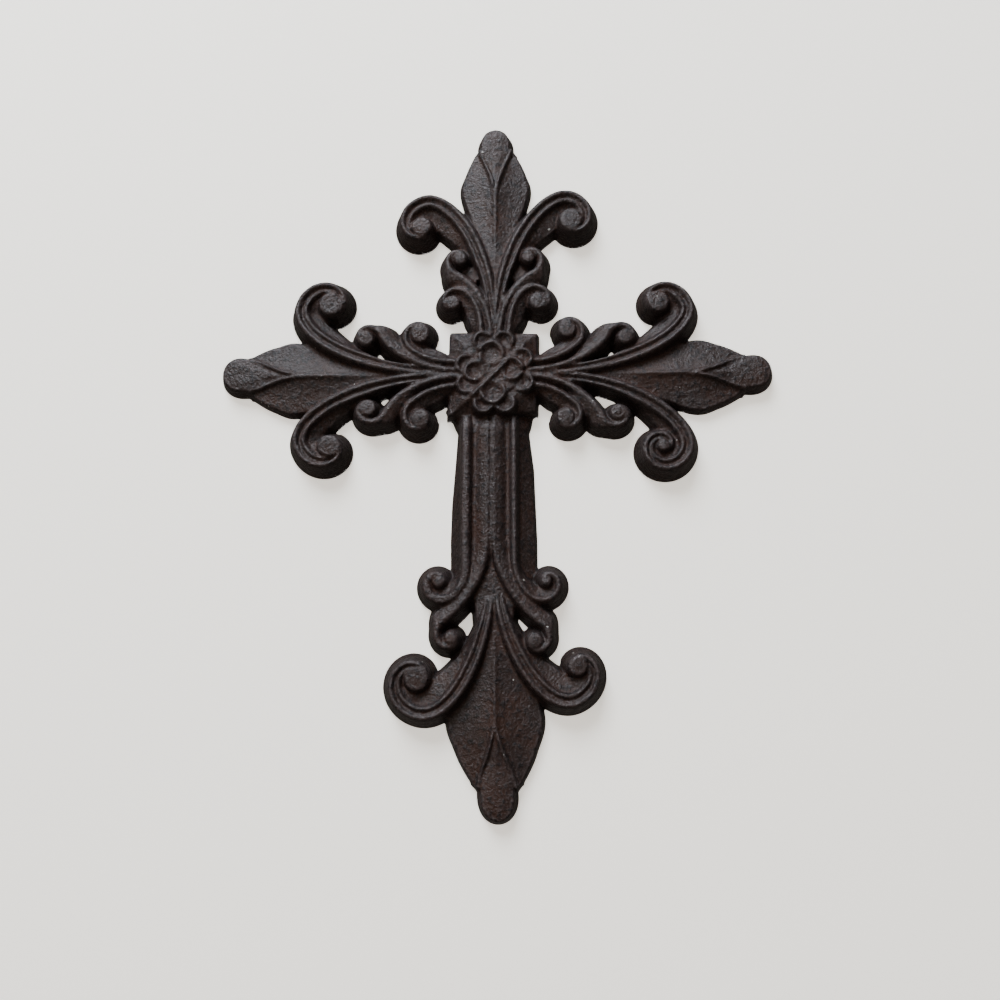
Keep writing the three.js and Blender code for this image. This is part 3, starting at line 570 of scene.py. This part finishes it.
def ribsBesideBud(side, limb):
    point = limb["bud"]["point"]
    start, full = point - leaves["meeting"], point - budRibs["fullBefore"]
    half, top = budRibs["halfWidth"], budRibs["topHalfWidth"]
    for hand in (1, -1):
        line = evenly(budRibLine(limb) * (1, hand), casting["lineStep"])
        line[:, 1] += leanAt(limb, line[:, 0])
        base = leafHeight(limb, line[:, 0], line[:, 1])[0]
        crest = base + growing(line[:, 0], budRibs["height"], start, full)
        shoulder, bottom = base - budRibs["sideDepth"], base - budRibs["footDepth"]
        section = stack((-half * budRibs["footWidth"], bottom), (-half, shoulder), (-top, crest),
                        (top, crest), (half, shoulder), (half * budRibs["footWidth"], bottom))
        sweepSection(side, line, 1, section, budRibs["reach"])


square = {
    "corners": ((18.5, 18.9), (-19.6, 19.6), (-20.3, -18.6), (17.9, -16.8)),
    "edgeHeight": 6.2, "slope": 0.62, "rise": 6.4, "draft": 0.14, "reach": 34,
}


def squarePlate(heightMap):
    outline = np.array(square["corners"], float)
    where = np.nonzero(heightMap.within((0, 0), square["reach"]))
    px, pz = heightMap.x[where], heightMap.z[where]
    beyond = np.full(len(px), -np.inf)
    for a, b in zip(outline, np.roll(outline, -1, axis=0)):
        run = (b - a) / np.hypot(*(b - a))
        beyond = np.maximum(beyond, (px - a[0]) * run[1] - (pz - a[1]) * run[0])
    roof = square["edgeHeight"] + square["slope"] * np.minimum(-beyond, square["rise"])
    wall = square["edgeHeight"] - beyond / square["draft"]
    heightMap.raiseTo(where, np.where(beyond < 0, roof, wall))


def facingOut(dx, dz, heading, near, far):  # 1 towards the heading, 0 on the far side
    turn = np.abs((np.arctan2(dz, dx) - heading + math.pi) % math.tau - math.pi)
    return 1 - ease(turn, near, far)


ridges = {"topHalfWidth": 0.2, "footWidth": 1.4, "footDepth": 1.6, "reach": 4}


def ridge(heightMap, line, tops, halfWidths, depth):
    line = evenly(np.array(line, float), casting["lineStep"])
    share = np.linspace(0, 1, len(line))
    top, half = lerp(tops[0], tops[1], share), lerp(halfWidths[0], halfWidths[1], share)
    narrow, wide, bottom = ridges["topHalfWidth"], ridges["footWidth"], top - depth * ridges["footDepth"]
    section = stack((-half * wide, bottom), (-half, top - depth), (-narrow, top),
                    (narrow, top), (half, top - depth), (half * wide, bottom))
    sweepSection(LimbSide(heightMap, 0), line, 1, section, ridges["reach"])


rose = {
    "petals": (
        {"cup": (7.2, 1.4), "radius": 4.8, "lobes": ((12.2, -4.5), (11.8, 6.2))},
        {"cup": (-1.6, 8.3), "radius": 5.2, "lobes": ((4.0, 14.0), (-5.1, 14.0))},
        {"cup": (-8.6, 0.4), "radius": 4.3, "lobes": ((-12.4, 3.6), (-11.9, -5.0))},
        {"cup": (-0.8, -8.7), "radius": 5.1, "lobes": ((-4.7, -13.7), (4.4, -13.6))},
    ),
    "height": 10.7, "core": 10.5, "lobeRadius": 4.6, "reach": 26,
    "rim": 1.3, "rimHalfWidth": 0.8,
    "lobeHollow": 1.3, "lobeHollowSize": 2.4,
    "lobeRimTurn": (1.2, 1.9), "cupRimTurn": (1.7, 2.5),  # angles over which a rim runs out
    "cupHollow": 1.9, "cupHollowSize": 0.62, "cupRim": 0.9,
    "cupEdge": (-0.5, 1.0), "cupLift": 0.7, "cupLiftEdge": (-1, 1.2),
    "seam": ((-9.4, -10.2), (6.2, 5.6)), "seamHeight": 12.5, "seamDrop": 0.4,
    "seamHalfWidth": (1.3, 0.7), "seamDepth": 1.0,
    "hip": ((-19.4, -17.8), (-9.2, -10.0)), "hipRise": 0.9, "hipDrop": 0.7,
    "hipHalfWidth": (0.8, 1.3), "hipDepth": 0.7,
}


def roseForm(heightMap):
    where = np.nonzero(heightMap.within((0, 0), rose["reach"]))
    px, pz = heightMap.x[where], heightMap.z[where]
    beyond = np.hypot(px, pz) - rose["core"]
    for petal in rose["petals"]:
        for lx, lz in petal["lobes"]:
            beyond = np.minimum(beyond, np.hypot(px - lx, pz - lz) - rose["lobeRadius"])
    surface = np.full(len(px), float(rose["height"]))
    width, rim = rose["rimHalfWidth"], rose["rim"]
    for petal in rose["petals"]:
        cx, cz = petal["cup"]
        radius = petal["radius"]
        fromCup = np.hypot(px - cx, pz - cz)
        outside = ease(fromCup, radius + rose["cupEdge"][0], radius + rose["cupEdge"][1])
        for lx, lz in petal["lobes"]:
            distance = np.hypot(px - lx, pz - lz)
            heading = math.atan2(lz - cz / 2, lx - cx / 2)
            facing = facingOut(px - lx, pz - lz, heading, *rose["lobeRimTurn"]) * outside
            fromRim = distance - rose["lobeRadius"] + width
            hollow = np.exp(-(distance / rose["lobeHollowSize"]) ** 2)
            surface -= rose["lobeHollow"] * hollow * outside
            surface += rim * facing * np.exp(-(fromRim / width) ** 2)
        facing = facingOut(px - cx, pz - cz, math.atan2(cz, cx), *rose["cupRimTurn"])
        inner, outer = (radius + edge for edge in rose["cupLiftEdge"])
        surface += fading(fromCup, rose["cupLift"], inner, outer)
        surface -= rose["cupHollow"] * np.exp(-(fromCup / (rose["cupHollowSize"] * radius)) ** 3)
        surface += rim * rose["cupRim"] * facing * np.exp(-((fromCup - radius) / width) ** 2)
    wall = surface - np.maximum(beyond, 0) / casting["draft"]
    heightMap.raiseTo(where, np.where(beyond < 0, surface, wall))
    top = rose["seamHeight"]
    seamTops = (top, top - rose["seamDrop"])
    hipTops = (square["edgeHeight"] + rose["hipRise"], top - rose["hipDrop"])
    ridge(heightMap, rose["seam"], seamTops, rose["seamHalfWidth"], rose["seamDepth"])
    ridge(heightMap, rose["hip"], hipTops, rose["hipHalfWidth"], rose["hipDepth"])


# The shaft, looking at it from the front: left and right sides at distances down from the rose.
shaft = {
    "start": 17.5, "end": 88.0, "reach": (3, 26), "startDip": (1.6, 6),
    "downs": (17, 25, 41, 57, 72, 88),
    "leftFeet": (20.5, 16.3, 17.4, 18.6, 19.0, 18.8),
    "rightFeet": (17.6, 14.6, 16.6, 17.2, 17.8, 17.8),
    "left": 14.4, "right": (9.0, 10.6),  # outer sides of the flutes, and where the right one has dropped
    "groove": -1.6, "crests": (-2.9, -0.5), "hollows": 5.6,
    "edge": 8.0, "hollow": 7.4, "crest": 9.3, "grooveDepth": 0.2, "rightLift": 0.6,
    "step": 5.4, "ledge": (1.0, 2.2),          # width and height
    "blend": (74, 90), "floor": 6.9, "floorEdge": 7.2,  # where it runs out into the plain foot
}


def shaftForm(heightMap):
    down = LimbSide(heightMap, -90)  # its side is x
    past, halfReach = shaft["reach"]
    near = (down.out > shaft["start"]) & (down.out < shaft["end"] + past)
    where = np.nonzero(near & (np.abs(down.side) < halfReach))
    out, across = down.out[where], down.side[where]
    leftFoot = np.interp(out, shaft["downs"], shaft["leftFeet"])
    rightFoot = np.interp(out, shaft["downs"], shaft["rightFeet"])
    ledge, ledgeHeight = shaft["ledge"]
    groove, hollow, crest = shaft["groove"], shaft["hollow"], shaft["crest"]
    floor, step = shaft["floor"], shaft["step"]
    stations = (  # place across, height in the fluted part, height in the plain part
        (-leftFoot, 0, 0),
        (-shaft["left"], shaft["edge"], shaft["floorEdge"]),
        (groove - shaft["hollows"], hollow, floor),
        (shaft["crests"][0], crest, floor),
        (groove, hollow - shaft["grooveDepth"], floor),
        (shaft["crests"][1], crest, floor),
        (groove + shaft["hollows"], hollow, floor),
        (shaft["right"][0], hollow + shaft["rightLift"], floor),
        (shaft["right"][1], step, step),
        (rightFoot - ledge, ledgeHeight, ledgeHeight),
        (rightFoot, 0, 0),
    )
    plain = ease(out, *shaft["blend"])
    offsets, heights = stack(*((place, lerp(fluted, even, plain)) for place, fluted, even in stations))
    raised = profile(across, offsets, heights)
    raised -= np.maximum(out - shaft["end"], 0) / casting["draft"]
    dip, over = shaft["startDip"]
    raised -= fading(out, dip, shaft["start"], shaft["start"] + over)
    heightMap.raiseTo(where, raised)


def buildRelief():
    heightMap = HeightMap(casting)
    for limb in limbs:
        plain = LimbSide(heightMap, limb["turned"])
        leaf(plain, limb)
        bud(plain, limb)
        ribsBesideBud(plain, limb)
        for pick, sign in enumerate((1, -1)):
            side = LimbSide(heightMap, limb["turned"], sign)
            innerScroll(side, limb, pick)
            midScroll(side, limb, pick)
            bigScroll(side, limb, pick)
            if "recess" in limb:
                recessFloor(side, limb)
    squarePlate(heightMap)
    shaftForm(heightMap)
    roseForm(heightMap)
    heightMap.height = blurred(heightMap.height, casting["softening"], heightMap.step)
    return heightMap


# The casting's mesh: the map's surface down to the back, and a flat back across its outline.
grain = {
    "seed": 11, "unevenness": 0.05, "unevennessSize": 1.4,
    "unevenAbove": 1,     # the edge at the back stays flat
    "hollowSize": 1.5,    # how wide the hollows are that hold rust and painted shade
}


def reliefMesh(heightMap, name):
    random = np.random.default_rng(grain["seed"])
    height = heightMap.height
    metal = np.maximum(height, 0)
    hollow = blurred(metal, grain["hollowSize"], heightMap.step) - metal
    steep = np.hypot(*np.gradient(height, heightMap.step))
    noise = random.normal(0, 1, height.shape)
    rough = blurred(noise, grain["unevennessSize"], heightMap.step)
    uneven = grain["unevenness"] * rough / rough.std()
    inside = height > 0
    surface = np.where(height > grain["unevenAbove"], height + uneven, height)

    # numbers of the points: first the grid's, then where its lines cross the outline
    number = np.full(height.shape, -1)
    number[inside] = np.arange(inside.sum())
    rows, columns = np.nonzero(inside)
    points = [np.c_[heightMap.xs[columns], -surface[inside], heightMap.zs[rows]]]
    hollows, steeps = [hollow[inside]], [steep[inside]]
    crossing = {}
    for axis in (0, 1):
        first = inside[:, :-1] if axis == 1 else inside[:-1]
        second = inside[:, 1:] if axis == 1 else inside[1:]
        rows, columns = np.nonzero(first != second)
        a = height[rows, columns]
        b = height[rows + (axis == 0), columns + (axis == 1)]
        share = a / (a - b)
        x = heightMap.xs[columns] + share * heightMap.step * (axis == 1)
        z = heightMap.zs[rows] + share * heightMap.step * (axis == 0)
        table = np.full(height.shape, -1)
        table[rows, columns] = sum(len(part) for part in points) + np.arange(len(rows))
        crossing[axis] = table
        points.append(np.c_[x, np.zeros(len(x)), z])
        hollows.append(hollow[rows, columns])
        steeps.append(steep[rows, columns])
    points = np.vstack(points) / 1000

    # one face for each cell of the grid that holds metal
    level, upright = crossing[1], crossing[0]
    around = np.stack([
        number[:-1, :-1], level[:-1, :-1], number[:-1, 1:], upright[:-1, 1:],
        number[1:, 1:], level[1:, :-1], number[1:, :-1], upright[:-1, :-1],
    ], -1).reshape(-1, 8)
    around = around[(around >= 0).any(1)]
    full = (around[:, 0::2] >= 0).all(1)
    faces = around[full][:, 0::2].tolist()
    following = {}
    for ring in around[~full].tolist():
        face = [point for point in ring if point >= 0]
        faces.append(face)
        for i, point in enumerate(ring):
            if i % 2 and point >= 0 and ring[i - 1] >= 0:
                ahead = next(ring[(i + k) % 8] for k in range(2, 8, 2) if ring[(i + k) % 8] >= 0)
                following[point] = ahead
    frontCount = len(faces)

    # the outline's loops, and the flat back across them
    loops = []
    while following:
        start, step = following.popitem()
        loop = [start]
        while step != start:
            loop.append(step)
            step = following.pop(step)
        loops.append(loop)
    flat = [point for loop in loops for point in loop]
    rings = [[Vector((points[i][0], points[i][2], 0)) for i in loop] for loop in loops]
    for corner in tessellate_polygon(rings):
        a, b, c = (flat[i] for i in corner)
        turn = ((points[b][0] - points[a][0]) * (points[c][2] - points[a][2])
                - (points[b][2] - points[a][2]) * (points[c][0] - points[a][0]))
        faces.append([a, c, b] if turn > 0 else [a, b, c])

    mesh = bpy.data.meshes.new(name)
    mesh.from_pydata(points.tolist(), [], faces)
    smooth = np.zeros(len(faces), bool)
    smooth[:frontCount] = True
    mesh.polygons.foreach_set("use_smooth", smooth)
    # These measures of slope and hollowness also set where the material paints shade on walls and in
    # hollows.
    for label, values in (("hollow", hollows), ("steep", steeps)):
        written = np.concatenate(values).astype(np.float32)
        mesh.attributes.new(label, "FLOAT", "POINT").data.foreach_set("value", written)
    mesh.update()
    return mesh, len(loops)


heightMap = buildRelief()
print("relief drawn, highest", round(float(heightMap.height.max()), 2), "mm")
mesh, loopCount = reliefMesh(heightMap, "crossCasting")
cross = bpy.data.objects.new("crossCasting", mesh)
bpy.context.scene.collection.objects.link(cross)
triangles = sum(len(face.vertices) - 2 for face in mesh.polygons)
print("casting meshed:", triangles, "triangles,", loopCount, "outline loops")


# Shader maths: a socket that can be used in sums, and a graph that makes any other node.
class Value:
    def __init__(self, graph, socket):
        self.graph, self.socket = graph, socket

    def maths(self, operation, first, second):
        return self.graph.node("ShaderNodeMath", {"operation": operation}, {0: first, 1: second})

    def __add__(self, other):
        return self.maths("ADD", self, other)

    def __radd__(self, other):
        return self.maths("ADD", other, self)

    def __sub__(self, other):
        return self.maths("SUBTRACT", self, other)

    def __rsub__(self, other):
        return self.maths("SUBTRACT", other, self)

    def __mul__(self, other):
        return self.maths("MULTIPLY", self, other)

    def __rmul__(self, other):
        return self.maths("MULTIPLY", other, self)


class Graph:
    def __init__(self, name):
        self.material = bpy.data.materials.new(name)
        self.material.use_nodes = True
        self.tree = self.material.node_tree
        self.tree.nodes.clear()

    def node(self, kind, settings=None, inputs=None, output=0):
        made = self.tree.nodes.new(kind)
        for name, value in (settings or {}).items():
            setattr(made, name, value)
        for name, value in (inputs or {}).items():
            if isinstance(value, Value):
                self.tree.links.new(value.socket, made.inputs[name])
            else:
                made.inputs[name].default_value = value
        return Value(self, made.outputs[output]) if made.outputs else None

    def mixColour(self, a, b, share):
        return self.node("ShaderNodeMix", {"data_type": "RGBA"}, {0: share, 6: a, 7: b}, 2)

    def noise(self, place, scale, detail, roughness):
        return self.node("ShaderNodeTexNoise", {}, {
            "Vector": place, "Scale": scale, "Detail": detail, "Roughness": roughness,
        })

    def between(self, value, low, high):  # 0 at low, 1 at high, smooth
        return self.node("ShaderNodeMapRange", {"interpolation_type": "SMOOTHSTEP"},
                         {"Value": value, "From Min": low, "From Max": high})


def colour(red, green, blue):  # from the 0 to 255 of a screen
    def linear(part):
        part /= 255
        return part / 12.92 if part <= 0.04045 else ((part + 0.055) / 1.055) ** 2.4
    return (linear(red), linear(green), linear(blue), 1.0)


iron = {
    # The light grey-brown colour is wear and grain, and also a painted highlight along the ridges.
    "bare": colour(38, 26, 22), "rust": colour(56, 32, 21), "wearAndHighlight": colour(66, 57, 56),
    # The near-black colour is soot-like grit, and also painted shade on the side walls and in the
    # hollows.
    "darkGritAndShade": colour(7, 6, 8), "speck": colour(150, 147, 142),
    # for each layer, the values of its mask where it starts and is full, and its greatest share
    "rustPatches": (0.42, 0.66, 0.5), "rustHollows": (0.1, 1.1, 0.6), "wearAndHighlightOnRidges": (0.15, 0.9, 0.5),
    "paintedShadeOnWalls": (0.7, 1.8, 0.4), "paintedShadeInHollows": (0.7, 1.7, 0.6), "sootGrit": (0.5, 0.64, 0.75),
    "wornGrains": (0.52, 0.66, 0.6), "specks": (0.872, 0.88, 1.0),
    # scale, detail and roughness of each noise
    "grain": (1150.0, 2.0, 0.6), "grit": (480.0, 3.0, 0.6), "patches": (48.0, 3.0, 0.6),
    "speckling": (420.0, 0.0, 0.5),
    "roughness": 0.46, "gritRoughness": 0.3, "hollowRoughness": 0.15, "specular": 0.29,
    "bumpHeight": 0.0007, "bumpStrength": 1.0, "grainBump": 0.6,
}


def ironMaterial():
    g = Graph("castIron")
    place = g.node("ShaderNodeTexCoord", {}, {}, "Object")
    hollow = g.node("ShaderNodeAttribute", {"attribute_name": "hollow"}, {}, "Fac")
    steep = g.node("ShaderNodeAttribute", {"attribute_name": "steep"}, {}, "Fac")
    grainy = g.noise(place, *iron["grain"])
    grit = g.noise(place, *iron["grit"])
    layers = (  # from the bottom up: a colour, its mask and the name of its settings
        ("rust", g.noise(place, *iron["patches"]), "rustPatches"),
        ("rust", hollow, "rustHollows"),
        # wear, and a painted highlight: lighter on the crests
        ("wearAndHighlight", 0 - hollow, "wearAndHighlightOnRidges"),
        # painted shade: darker on the steep side walls
        ("darkGritAndShade", steep, "paintedShadeOnWalls"),
        # painted shade: darker in the hollows
        ("darkGritAndShade", hollow, "paintedShadeInHollows"),
        ("darkGritAndShade", grit, "sootGrit"),
        ("wearAndHighlight", grainy, "wornGrains"),
        ("speck", g.noise(place, *iron["speckling"]), "specks"),
    )
    base = iron["bare"]
    for tint, mask, name in layers:
        low, high, share = iron[name]
        base = g.mixColour(base, iron[tint], g.between(mask, low, high) * share)
    low, high, share = iron["rustHollows"]
    roughness = iron["roughness"] + (grit - 0.5) * iron["gritRoughness"]
    roughness = roughness + g.between(hollow, low, high) * iron["hollowRoughness"]
    bump = g.node("ShaderNodeBump", {}, {
        "Strength": iron["bumpStrength"], "Distance": iron["bumpHeight"],
        "Height": grainy * iron["grainBump"] + grit,
    })
    shader = g.node("ShaderNodeBsdfPrincipled", {}, {
        "Base Color": base, "Roughness": roughness, "Specular IOR Level": iron["specular"],
        "Normal": bump,
    })
    g.node("ShaderNodeOutputMaterial", {}, {"Surface": shader})
    return g.material


mesh.materials.append(ironMaterial())
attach(cross, "root")
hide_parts("cross_casting")
print("casting finished")


# A pale wall just behind the cross that shows from the front alone, so that the back is seen
# from behind, and far around it a pale floor and the sides of a room.
stage = {
    "wallGap": 0.0004, "wallHalf": 1.1, "floorDrop": 0.30, "roomHalf": 4.0,
    "wall": colour(240, 234, 224), "floor": colour(226, 224, 219),
    "glow": 1.05, "paintRoughness": 0.9,
}


def plane(name, corners, material):
    surface = bpy.data.meshes.new(name)
    surface.from_pydata(corners, [], [(0, 1, 2, 3)])
    surface.materials.append(material)
    placed = bpy.data.objects.new(name, surface)
    bpy.context.scene.collection.objects.link(placed)
    return placed


def paleMaterial(name, tint, oneSided):
    g = Graph(name)
    pale = g.node("ShaderNodeBsdfPrincipled", {}, {
        "Base Color": tint, "Roughness": stage["paintRoughness"],
        "Emission Color": tint, "Emission Strength": stage["glow"],
    })
    if oneSided:
        behind = g.node("ShaderNodeNewGeometry", {}, {}, "Backfacing")
        clear = g.node("ShaderNodeBsdfTransparent")
        pale = g.node("ShaderNodeMixShader", {}, {0: behind, 1: pale, 2: clear})
    g.node("ShaderNodeOutputMaterial", {}, {"Surface": pale})
    return g.material


half, gap, low = stage["wallHalf"], stage["wallGap"], -stage["floorDrop"]
wall = plane("paleWall", [(-half, gap, low), (half, gap, low), (half, gap, half), (-half, gap, half)],
             paleMaterial("wallPaint", stage["wall"], True))
wall.visible_diffuse = wall.visible_glossy = wall.visible_transmission = wall.visible_shadow = False
room = stage["roomHalf"]
roomPaint = paleMaterial("roomPaint", stage["floor"], False)
corners = [(-room, -room), (room, -room), (room, room), (-room, room)]
sides = [plane("paleFloor", [(x, y, low) for x, y in corners], roomPaint)]
for i, (x, y) in enumerate(corners):
    nextX, nextY = corners[(i + 1) % 4]
    edge = [(x, y, low), (nextX, nextY, low), (nextX, nextY, room), (x, y, room)]
    sides.append(plane(f"roomSide{i + 1}", edge, roomPaint))
for side in sides:
    side.visible_diffuse = side.visible_glossy = side.visible_shadow = False

surroundings = {"colour": (1.0, 0.90, 0.80, 1), "strength": 0.2}
world = bpy.data.worlds.new("softRoom")
world.use_nodes = True
background = world.node_tree.nodes["Background"].inputs
background["Color"].default_value = surroundings["colour"]
background["Strength"].default_value = surroundings["strength"]
bpy.context.scene.world = world

# The lights are aimed at the middle of the cross.
lights = {
    "window": {"place": (-0.35, -0.90, 1.10), "size": 0.8, "watts": 50.0, "tint": (0.83, 0.91, 1.0)},
    "leftFill": {"place": (-0.9, -1.3, 0.1), "size": 0.9, "watts": 5.5, "tint": (1.0, 0.92, 0.82)},
    "rearFill": {"place": (0.0, 1.6, -0.05), "size": 0.4, "watts": 55.0, "tint": (1.0, 0.98, 0.95)},
}
middle = Vector((0, 0, -0.03))
for name, light in lights.items():
    lamp = bpy.data.lights.new(name, "AREA")
    lamp.size, lamp.energy, lamp.color = light["size"], light["watts"], light["tint"]
    holder = bpy.data.objects.new(name, lamp)
    holder.location = light["place"]
    holder.rotation_euler = (middle - Vector(light["place"])).to_track_quat("-Z", "Y").to_euler()
    bpy.context.scene.collection.objects.link(holder)

view = {
    "place": (0.0142, -0.4076, -0.1334), "forward": (-0.0295, 0.981, 0.1915),
    "lens": 34.92, "sensor": 36.0, "nearest": 0.02,
}
lens = bpy.data.cameras.new("photoView")
lens.lens, lens.sensor_width, lens.clip_start = view["lens"], view["sensor"], view["nearest"]
camera = bpy.data.objects.new("photoView", lens)
camera.location = view["place"]
camera.rotation_euler = Vector(view["forward"]).to_track_quat("-Z", "Y").to_euler()
bpy.context.scene.collection.objects.link(camera)
bpy.context.scene.camera = camera
print("stage, lights and camera set")
